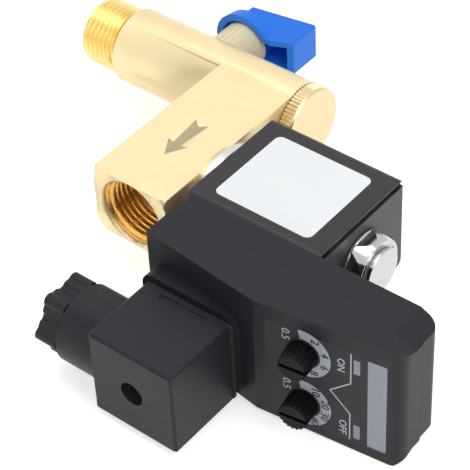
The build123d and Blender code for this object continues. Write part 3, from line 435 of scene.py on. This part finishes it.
@dataclass(frozen=True)
class PipeThread:
    """G 1/2 thread as a closed tube of its own, along a local X axis from its open end."""

    side: Side
    length: float
    wall: float
    crest: float = 10.42 * MM
    root: float = 9.32 * MM
    pitch: float = 1.814 * MM
    lead: float = 0.9 * MM
    runout: float = 1.5 * MM
    steepness: float = 1.35
    around: int = 96
    per_pitch: int = 12

    def tooth(self, along: float) -> float:
        """Height of the thread, from 0 at its root to 1 at its crest, at a place on the axis."""
        phase = along / self.pitch % 1.0
        peak = 1.0 - abs(2.0 * phase - 1.0)
        return min(1.0, max(0.0, 0.5 + self.steepness * (peak - 0.5)))

    def radius(self, along: float, turn: float) -> float:
        """Radius of the threaded surface.

        Args:
            along: Distance from the open end.
            turn: Share of a turn round the axis.

        Returns:
            The radius in metres.
        """
        depth = self.crest - self.root
        radius = self.root + depth * self.tooth(along - self.pitch * turn)
        if self.side is Side.FEMALE:
            return max(radius, self.crest + 0.1 * MM - along)
        plain = (along - self.length + self.runout) / (0.5 * MM)
        radius -= (radius - self.root) * min(1.0, max(0.0, plain))
        return min(radius, self.crest - self.lead + along)

    def mesh(self) -> bpy.types.Mesh:
        """The tube as a closed mesh of rings joined from end to end."""
        bm = bmesh.new()
        steps = math.ceil(self.length / self.pitch * self.per_pitch)
        stations = [self.length * step / steps for step in range(steps + 1)]
        rings = [self.ring(bm, place, True) for place in stations]
        rings += [self.ring(bm, place, False) for place in (self.length, 0.0)]
        for near, far in zip(rings, rings[1:] + rings[:1]):
            for index in range(self.around):
                after = (index + 1) % self.around
                bm.faces.new((near[index], far[index], far[after], near[after]))
        bmesh.ops.recalc_face_normals(bm, faces=bm.faces)
        return to_mesh(bm, "thread")

    def ring(self, bm: bmesh.types.BMesh, place: float, threaded: bool) -> list[bmesh.types.BMVert]:
        """One ring of vertices.

        Args:
            bm: Mesh to add to.
            place: Distance from the open end.
            threaded: True on the thread, False on the tube's plain wall.

        Returns:
            The ring's vertices in order.
        """
        ring = []
        for index in range(self.around):
            turn = index / self.around
            radius = self.radius(place, turn) if threaded else self.wall
            angle = 2 * math.pi * turn
            ring.append(bm.verts.new((place, radius * math.cos(angle), radius * math.sin(angle))))
        return ring


def to_mesh(bm: bmesh.types.BMesh, name: str) -> bpy.types.Mesh:
    """Turn a bmesh into a smooth-shaded mesh and free it."""
    mesh = bpy.data.meshes.new(name)
    bm.to_mesh(mesh)
    bm.free()
    smooth_by_angle(mesh)
    return mesh


def rod(start: Vector, end: Vector, radius: float, steps: int = 128) -> bpy.types.Mesh:
    """Closed cylinder between two points, used to cut with.

    Args:
        start: Centre of one end.
        end: Centre of the other.
        radius: Its radius.
        steps: Sides.

    Returns:
        The mesh.
    """
    bm = bmesh.new()
    axis = (end - start).normalized()
    side = axis.orthogonal().normalized()
    other = axis.cross(side)
    ends = []
    for centre in (start, end):
        ring = []
        for step in range(steps):
            angle = 2 * math.pi * step / steps
            ring.append(bm.verts.new(centre + radius * (side * math.cos(angle) + other * math.sin(angle))))
        ends.append(ring)
    for index in range(steps):
        after = (index + 1) % steps
        bm.faces.new((ends[0][index], ends[0][after], ends[1][after], ends[1][index]))
    bm.faces.new(ends[0][::-1])
    bm.faces.new(ends[1])
    bmesh.ops.recalc_face_normals(bm, faces=bm.faces)
    return to_mesh(bm, "rod")


def soften(node: str, width: float, angle: float = 40.0) -> None:
    """Round a CAD node's edges a little, as moulding and deburring leave them.

    Args:
        node: Name of the CAD node.
        width: Width of the rounding.
        angle: Smallest angle between faces that is rounded, in degrees.
    """
    piece = NODES[node]
    weld = piece.modifiers.new("weld", "WELD")
    weld.merge_threshold = WELD_DISTANCE
    flat = piece.modifiers.new("flat", "DECIMATE")
    flat.decimate_type = "DISSOLVE"
    flat.angle_limit = math.radians(0.2)
    edge = piece.modifiers.new("edge", "BEVEL")
    edge.width = width
    edge.segments = 2
    edge.limit_method = "ANGLE"
    edge.angle_limit = math.radians(angle)
    edge.harden_normals = True
    even_normals(piece)


# ------------------------------------------------------------------ flat prints


@dataclass(frozen=True)
class PrintPlane:
    """Flat place for prints: x runs along it, y up it, and facing points off it."""

    origin: Vector
    along: Vector
    up: Vector
    facing: Vector
    proud: float = 0.05 * MM
    sunk: float = 0.05 * MM

    def at(self, x: float, y: float, out: float) -> Vector:
        """Point in the shared frame, from millimetres along, up and out of the plane."""
        return self.origin + self.along * (x * MM) + self.up * (y * MM) + self.facing * out

    def slab(self, bm: bmesh.types.BMesh, outline: list[tuple[float, float]]) -> None:
        """Add a thin closed plate with an outline.

        Args:
            bm: Mesh to add to.
            outline: Corners in millimetres, in order.
        """
        low = [bm.verts.new(self.at(x, y, -self.sunk)) for x, y in outline]
        high = [bm.verts.new(self.at(x, y, self.proud)) for x, y in outline]
        bm.faces.new(low[::-1])
        bm.faces.new(high)
        for index in range(len(outline)):
            after = (index + 1) % len(outline)
            bm.faces.new((low[index], low[after], high[after], high[index]))

    def mesh(self, outlines: list[list[tuple[float, float]]], name: str) -> bpy.types.Mesh:
        """One mesh with a plate for each outline."""
        bm = bmesh.new()
        for outline in outlines:
            self.slab(bm, outline)
        bmesh.ops.recalc_face_normals(bm, faces=bm.faces)
        return to_mesh(bm, name)

    def words(self, text: str, x: float, y: float, size: float, name: str) -> bpy.types.Mesh:
        """Letters that read down the plane, centred on a point.

        Args:
            text: The letters.
            x: Place along the plane in millimetres.
            y: Place up the plane in millimetres.
            size: Height of the letters in millimetres.
            name: Name of the mesh.

        Returns:
            The letters as a closed mesh.
        """
        curve = bpy.data.curves.new(name, "FONT")
        curve.body = text
        curve.size = size * LETTER_HEIGHT * MM
        curve.align_x = "CENTER"
        curve.align_y = "CENTER"
        curve.extrude = self.sunk + self.proud / 2
        curve.resolution_u = 3
        helper = bpy.data.objects.new(name, curve)
        bpy.context.scene.collection.objects.link(helper)
        mesh = applied(helper)
        turn = Matrix((-self.up, self.along, self.facing)).transposed().to_4x4()
        mesh.transform(Matrix.Translation(self.at(x, y, self.proud / 2)) @ turn)
        bpy.data.objects.remove(helper)
        return mesh


def ring_sector(x: float, y: float, inner: float, outer: float, start: float,
                end: float) -> list[tuple[float, float]]:
    """Outline of part of a flat ring.

    Args:
        x: Centre along the plane, in millimetres.
        y: Centre up the plane.
        inner: Inner radius.
        outer: Outer radius.
        start: First angle in degrees.
        end: Last angle.

    Returns:
        The outline's corners.
    """
    steps = 40
    angles = [math.radians(start + (end - start) * step / steps) for step in range(steps + 1)]
    outside = [(x + outer * math.cos(angle), y + outer * math.sin(angle)) for angle in angles]
    inside = [(x + inner * math.cos(angle), y + inner * math.sin(angle)) for angle in angles]
    return outside + inside[::-1]


def stroke(points: list[tuple[float, float]], width: float) -> list[tuple[float, float]]:
    """Outline of a line of even width through points, with mitred corners.

    Args:
        points: The points in millimetres.
        width: Its width.

    Returns:
        The outline's corners.
    """
    left, right = [], []
    for index, (x, y) in enumerate(points):
        before = Vector(points[index]) - Vector(points[max(index - 1, 0)])
        after = Vector(points[min(index + 1, len(points) - 1)]) - Vector(points[index])
        first = (before if before.length else after).normalized()
        second = (after if after.length else before).normalized()
        middle = (first + second).normalized()
        reach = width / 2 / max(0.3, middle.dot(first))
        left.append((x - middle.y * reach, y + middle.x * reach))
        right.append((x + middle.y * reach, y - middle.x * reach))
    return left + right[::-1]


def plate(left: float, right: float, low: float, high: float, corner: float) -> list[tuple[float, float]]:
    """Outline of a rectangle with rounded corners.

    Args:
        left: Lowest place along the plane, in millimetres.
        right: Highest place along it.
        low: Lowest place up it.
        high: Highest place up it.
        corner: Radius of the corners.

    Returns:
        The outline's corners.
    """
    outline = []
    centres = ((right - corner, high - corner), (left + corner, high - corner),
               (left + corner, low + corner), (right - corner, low + corner))
    for quarter, (x, y) in enumerate(centres):
        for step in range(7):
            angle = math.radians(90 * quarter + 15 * step)
            outline.append((x + corner * math.cos(angle), y + corner * math.sin(angle)))
    return outline


# ------------------------------------------------------------------ studio


@dataclass
class Studio:
    """Camera, soft lights, pale floor and white surroundings."""

    azimuth: float = 40.6
    elevation: float = 42.7
    roll: float = -3.0
    distance: float = 544.8 * MM
    target: Vector = field(default_factory=lambda: Vector((82.9, -39.3, -12.6)) * MM)
    lens: float = 147.6
    floor_half: float = 4.0
    centre: Vector = field(default_factory=lambda: Vector((0.085, -0.045, 0.0)))

    def build(self) -> None:
        """Set up everything that isn't the object."""
        self.camera()
        self.world()
        self.floor()
        self.lamp("key", (0.55, -0.10, 0.42), 0.42, 1.3)
        self.lamp("overhead", (-0.05, -0.02, 0.75), 0.60, 1.7)
        self.lamp("front", (-0.15, -0.75, 0.30), 0.50, 0.3)
        bpy.context.scene.view_settings.view_transform = "Standard"

    def camera(self) -> None:
        """Place the camera, square to the view and rolled as the view is."""
        data = bpy.data.cameras.new("camera")
        data.lens = self.lens
        data.sensor_width = 36.0
        data.clip_start = 0.01
        camera = bpy.data.objects.new("camera", data)
        round_about, upwards = math.radians(self.azimuth), math.radians(self.elevation)
        level = Vector((math.sin(round_about), -math.cos(round_about), 0.0)) * math.cos(upwards)
        back = level + Vector((0.0, 0.0, math.sin(upwards)))
        tilt = Matrix.Rotation(math.radians(self.roll), 4, "Z")
        turn = back.to_track_quat("Z", "Y").to_matrix().to_4x4() @ tilt
        camera.matrix_world = Matrix.Translation(self.target + back * self.distance) @ turn
        bpy.context.scene.collection.objects.link(camera)
        bpy.context.scene.camera = camera

    def world(self) -> None:
        """White where it is seen or mirrored, and a soft even light elsewhere."""
        world = bpy.data.worlds.new("surroundings")
        world.use_nodes = True
        bpy.context.scene.world = world
        tree = world.node_tree
        background = tree.nodes["Background"]
        background.inputs["Color"].default_value = (1.0, 1.0, 1.0, 1.0)
        tree.links.new(seen_or_mirrored(tree, 0.45, 1.0), background.inputs["Strength"])

    def floor(self) -> None:
        """Lay the floor under the lowest piece, white from above but still shaded."""
        low = CAD_BOX[0][2]
        bm = bmesh.new()
        half = self.floor_half
        corners = ((-half, -half), (half, -half), (half, half), (-half, half))
        bm.faces.new([bm.verts.new((x, y, low)) for x, y in corners])
        mesh = to_mesh(bm, "floor")
        floor = bpy.data.objects.new("floor", mesh)
        bpy.context.scene.collection.objects.link(floor)
        graph = Graph("floor_white")
        graph.shader.inputs["Base Color"].default_value = (0.86, 0.86, 0.86, 1.0)
        graph.shader.inputs["Roughness"].default_value = 0.9
        graph.shader.inputs["Emission Color"].default_value = (1.0, 1.0, 1.0, 1.0)
        glow = seen_or_mirrored(graph.tree, 0.0, 0.62)
        graph.link(glow, graph.shader.inputs["Emission Strength"])
        mesh.materials.append(graph.material)

    def lamp(self, name: str, place: tuple[float, float, float], size: float, power: float) -> None:
        """Add a square soft lamp that faces the object.

        Args:
            name: Its name.
            place: Its centre in metres.
            size: Length of its side.
            power: Its power in watts.
        """
        data = bpy.data.lights.new(name, "AREA")
        data.size = size
        data.energy = power
        lamp = bpy.data.objects.new(name, data)
        lamp.location = place
        lamp.rotation_euler = (self.centre - Vector(place)).to_track_quat("-Z", "Y").to_euler()
        bpy.context.scene.collection.objects.link(lamp)


def seen_or_mirrored(tree: bpy.types.NodeTree, unseen: float, seen: float) -> bpy.types.NodeSocket:
    """Strength that differs for rays that are seen, mirrored or refracted.

    Args:
        tree: Node tree to add to.
        unseen: Strength for rays that only carry light.
        seen: Strength for camera, glossy and transmission rays.

    Returns:
        The strength's socket.
    """
    path = tree.nodes.new("ShaderNodeLightPath")
    total = path.outputs["Is Camera Ray"]
    for other in ("Is Glossy Ray", "Is Transmission Ray"):
        larger = tree.nodes.new("ShaderNodeMath")
        larger.operation = "MAXIMUM"
        tree.links.new(total, larger.inputs[0])
        tree.links.new(path.outputs[other], larger.inputs[1])
        total = larger.outputs[0]
    span = tree.nodes.new("ShaderNodeMapRange")
    span.inputs["To Min"].default_value = unseen
    span.inputs["To Max"].default_value = seen
    tree.links.new(total, span.inputs["Value"])
    return span.outputs["Result"]


# ------------------------------------------------------------------ sub-assemblies


@dataclass
class ValveBody:
    """Brass bar and square branch, with real threads in place of the plain stand-ins."""

    thread_length: float = 13.9 * MM
    cutter_overhang: float = 5.0 * MM
    floor_tolerance: float = 0.02 * MM
    cutter_radius: float = 11.6 * MM
    outlet_wall: float = 10.85 * MM
    arrow_floor: float = 11.0 * MM
    bonnet_start: float = 11.9 * MM
    bonnet_reach: float = 9.0 * MM
    body: str = "valve_assembly"

    def build(self) -> None:
        """Make the body and its two threads."""
        port = MOUNTS["outlet_port"]
        mouth = Vector(port["pos_m"])
        depth = port["dims"]["length_mm"] * MM
        bore = MOUNTS["inlet_bore"]["dims"]["r_mm"] * MM
        whole = to_mesh(welded_copy("valve_body"), "valve_body_whole")
        inwards = Vector((0.0, 1.0, 0.0))
        ahead = Vector((-self.cutter_overhang, 0.0, 0.0))
        male_zone = rod(ahead, Vector((self.thread_length, 0.0, 0.0)), self.cutter_radius)
        female_zone = rod(mouth, mouth + inwards * depth, self.outlet_wall)
        cut = cut_away(whole, [male_zone, female_zone])
        smooth_by_angle(cut)
        casting = make_piece("valve_body_machined", cut, BRASS, self.body)
        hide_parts("valve_body")
        even_normals(casting)
        self.etch_arrow(casting)
        self.paint_light_on_bonnet(casting)
        male = PipeThread(Side.MALE, self.thread_length, bore)
        thread = make_piece("inlet_male_thread", male.mesh(), THREAD_BRASS, self.body)
        female = PipeThread(Side.FEMALE, depth, self.outlet_wall)
        mesh = female.mesh()
        mesh.transform(Matrix.Translation(mouth) @ Matrix.Rotation(math.pi / 2, 4, "Z"))
        # The bore's thread gets the darker brass of painted shade.
        outlet = make_piece("outlet_female_thread", mesh, BORE_SHADED_BRASS, self.body)

    def etch_arrow(self, casting: bpy.types.Object) -> None:
        """Give the floor of the flow arrow its matt finish."""
        casting.data.materials.append(ETCHED_BRASS.material())
        for face in casting.data.polygons:
            if abs(face.center.z - self.arrow_floor) < self.floor_tolerance and face.normal.z > 0.9:
                face.material_index = 1

    def paint_light_on_bonnet(self, casting: bpy.types.Object) -> None:
        """Give the bonnet round the handle's stem a paler, nearly non-metallic brass: painted light that brightens
        the faces the handle shades.
        """
        stem = JOINTS["handle_turn"]["pos_m"][0]
        # Painted light: the bonnet's faces get a brighter brass than the rest of the body.
        casting.data.materials.append(BONNET_LIT_BRASS.material())
        for face in casting.data.polygons:
            if face.center.y > self.bonnet_start and abs(face.center.x - stem) < self.bonnet_reach:
                face.material_index = 2


@dataclass
class Dressed:
    """Sub-assembly of CAD nodes, which keep their shape and get finishes and soft edges."""

    def dress(self, finish: Finish, *nodes: str, edge: float = 0.0) -> None:
        """Give CAD nodes a finish and, where they are seen closely, rounded edges.

        Args:
            finish: The finish.
            nodes: Names of the nodes.
            edge: Width of the rounding, or 0 for none.
        """
        finish.dress(*(NODES[node] for node in nodes))
        for node in nodes:
            if edge:
                soften(node, edge)
            log.info("%s: %s", node, finish.name)


@dataclass
class BallValve(Dressed):
    """Ball between its two seats, with the stem that turns it and the retainer behind."""

    def build(self) -> None:
        """Dress the pieces inside the bar."""
        self.dress(CHROME, "ball")
        self.dress(PTFE, "ball_seat_inlet", "ball_seat_outlet")
        self.dress(TURNED_BRASS, "seat_retainer", "valve_stem")
        self.dress(RUBBER, "stem_o_rings")


@dataclass
class Strainer(Dressed):
    """Slotted screen and the knurled cap that holds it."""

    def build(self) -> None:
        """Dress the screen, the cap and its seal."""
        self.dress(STAINLESS, "strainer_screen")
        self.dress(TURNED_BRASS, "strainer_cap")
        self.dress(RUBBER, "cap_o_ring")


@dataclass
class Handle(Dressed):
    """Blue moulded lever and its screw."""

    edge: float = 0.25 * MM

    def build(self) -> None:
        """Dress the lever and the screw."""
        self.dress(BLUE_PLASTIC, "handle", edge=self.edge)
        self.dress(ZINC, "handle_screw")


@dataclass
class Solenoid(Dressed):
    """Armature tube with the plunger, its spring and the fixed core."""

    def build(self) -> None:
        """Dress the tube and what it holds."""
        self.dress(STAINLESS, "armature_tube", "fixed_core", "plunger", "plunger_spring")
        self.dress(RUBBER, "tube_o_ring", "plunger_seal")


@dataclass
class Coil(Dressed):
    """Moulded coil with its label, clamped by the polished nut."""

    shell_edge: float = 0.15 * MM
    nut_edge: float = 0.12 * MM

    def build(self) -> None:
        """Dress the moulding, the winding inside it, the label and the nut."""
        self.dress(COIL_BLACK, "coil_shell", edge=self.shell_edge)
        self.dress(BLACK_STEEL, "coil_yoke")
        self.dress(WHITE_PLASTIC, "coil_bobbin")
        self.dress(COPPER, "coil_winding")
        self.dress(LABEL_WHITE, "coil_label")
        self.dress(ZINC, "coil_terminals", "coil_washer")
        self.dress(RUBBER, "coil_gasket")
        self.dress(TURNED_CHROME, "coil_nut", edge=self.nut_edge)


@dataclass
class Timer(Dressed):
    """Timer case in two halves, with its panel, lamps, knobs and circuit board."""

    case_edge: float = 0.35 * MM
    knob_edge: float = 0.12 * MM

    def build(self) -> None:
        """Dress the case, the panel's pieces and what the case holds."""
        self.dress(BLACK_PLASTIC, "timer_rear_case", "timer_front_case", edge=self.case_edge)
        self.dress(BLACK_PLASTIC, "timer_socket")
        self.dress(PANEL_BLACK, "timer_panel")
        self.dress(LENS_GREY, "timer_lamps")
        self.dress(WHITE_PLASTIC, "timer_potentiometers", "timer_relay")
        self.dress(BOARD_GREEN, "circuit_board")
        self.dress(ZINC, "timer_plug_pins")
        self.dress(KNOB_BLACK, "knob_off_time", "knob_on_time", edge=self.knob_edge)


@dataclass
class CablePlug(Dressed):
    """Cable plug with its contacts, fixing screw and cable gland."""

    housing_edge: float = 0.3 * MM
    gland_edge: float = 0.3 * MM

    def build(self) -> None:
        """Dress the housing, what it holds and the gland."""
        self.dress(BLACK_PLASTIC, "plug_housing", edge=self.housing_edge)
        self.dress(BLACK_PLASTIC, "gland_nut", edge=self.gland_edge)
        self.dress(BLACK_PLASTIC, "plug_insert")
        self.dress(RUBBER, "plug_gasket", "gland_seal")
        self.dress(ZINC, "plug_contacts")
        self.dress(BRIGHT_ZINC, "plug_screw")
        self.dress(WHITE_PLASTIC, "gland_washer")


@dataclass
class ControlPanel:
    """Prints on the timer's front: two dials, a diagram, ON and OFF, and a bare name plate."""

    dial_along: float = 14.35
    ring_inner: float = 4.9
    ring_outer: float = 7.9
    ring_start: float = 100.0
    ring_end: float = -112.0
    number_radius: float = 6.5
    number_height: float = 2.3
    over_print: float = 0.09 * MM
    first_number: float = 58.0
    number_step: float = 40.0
    start_along: float = -5.0
    start_up: float = 4.6
    word_height: float = 2.1
    on_place: tuple[float, float] = (25.1, 8.0)
    off_place: tuple[float, float] = (25.6, -14.6)
    line_width: float = 0.32
    line_lean: float = 0.1
    line_right: float = 28.0
    line_top: float = 13.4
    line_bottom: float = -18.4
    line_notch: tuple[float, float] = (22.0, -2.6)
    notch_top: float = 2.6
    notch_bottom: float = -8.7
    plate_sides: tuple[float, float] = (32.7, 38.0)
    plate_ends: tuple[float, float] = (-18.3, 13.1)
    plate_corner: float = 0.35
    body: str = "coil_assembly"

    def plane(self) -> PrintPlane:
        """The panel's face, with its origin at the timer's bend and at the level of the axes."""
        joint = JOINTS["off_time_knob_turn"]
        facing = Vector(joint["axis"]).normalized()
        along = Vector((-facing.y, facing.x, 0.0)).normalized()
        centre = Vector(joint["pos_m"])
        origin = centre - along * (self.dial_along * MM)
        origin.z = 0.0
        return PrintPlane(origin, along, Vector((0.0, 0.0, 1.0)), facing)

    def build(self) -> None:
        """Make every print."""
        plane = self.plane()
        heights = [JOINTS[name]["pos_m"][2] / MM for name in ("off_time_knob_turn", "on_time_knob_turn")]
        rings = [ring_sector(self.dial_along, z, self.ring_inner, self.ring_outer, self.ring_start,
                             self.ring_end) for z in heights]
        self.add("dial_rings", plane.mesh(rings, "dial_rings"), PRINT_GREY)
        over = PrintPlane(plane.origin, plane.along, plane.up, plane.facing, self.over_print)
        for z, numbers, name in zip(heights, (("2", "4", "6", "8", "10"), ("10", "20", "30", "40", "")),
                                    ("off_time", "on_time")):
            self.numbers(over, z, numbers, name)
            start = plane.words("0.5", self.dial_along + self.start_along, z + self.start_up,
                                self.number_height, f"{name}_start")
            self.add(f"{name}_start", start, PRINT_WHITE)
        lean = self.line_lean
        line = stroke([(self.line_right, self.line_top), (self.line_right - lean, self.notch_top),
                       self.line_notch, (self.line_right - 3 * lean, self.notch_bottom),
                       (self.line_right - 4 * lean, self.line_bottom)], self.line_width)
        self.add("diagram_line", plane.mesh([line], "diagram_line"), PRINT_PALE)
        self.add("word_on", plane.words("ON", *self.on_place, self.word_height, "word_on"), PRINT_PALE)
        self.add("word_off", plane.words("OFF", *self.off_place, self.word_height, "word_off"), PRINT_PALE)
        bare = plate(*self.plate_sides, *self.plate_ends, self.plate_corner)
        self.add("name_plate", plane.mesh([bare], "name_plate"), PLATE_BLUE)

    def numbers(self, plane: PrintPlane, z: float, numbers: tuple[str, ...], name: str) -> None:
        """Print a dial's numbers round its ring.

        Args:
            plane: The face to print on.
            z: Height of the dial's centre in millimetres.
            numbers: What to print, clockwise.
            name: Name of the dial.
        """
        for index, number in enumerate(numbers):
            if not number:
                continue
            angle = math.radians(self.first_number - self.number_step * index)
            x = self.dial_along + self.number_radius * math.cos(angle)
            y = z + self.number_radius * math.sin(angle)
            label = f"{name}_number_{index + 1}"
            self.add(label, plane.words(number, x, y, self.number_height, label), PRINT_BLACK)

    def add(self, name: str, mesh: bpy.types.Mesh, finish: Finish) -> None:
        """Make one print as a piece on the timer."""
        piece = make_piece(name, mesh, finish, self.body)


def main() -> None:
    """Build the studio and each sub-assembly in order."""
    assemblies = (
        Studio(),
        ValveBody(),
        BallValve(),
        Strainer(),
        Handle(),
        Solenoid(),
        Coil(),
        Timer(),
        CablePlug(),
        ControlPanel(),
    )
    for assembly in assemblies:
        assembly.build()
        log.info("built %s", type(assembly).__name__)


if __name__ == "__main__":
    main()
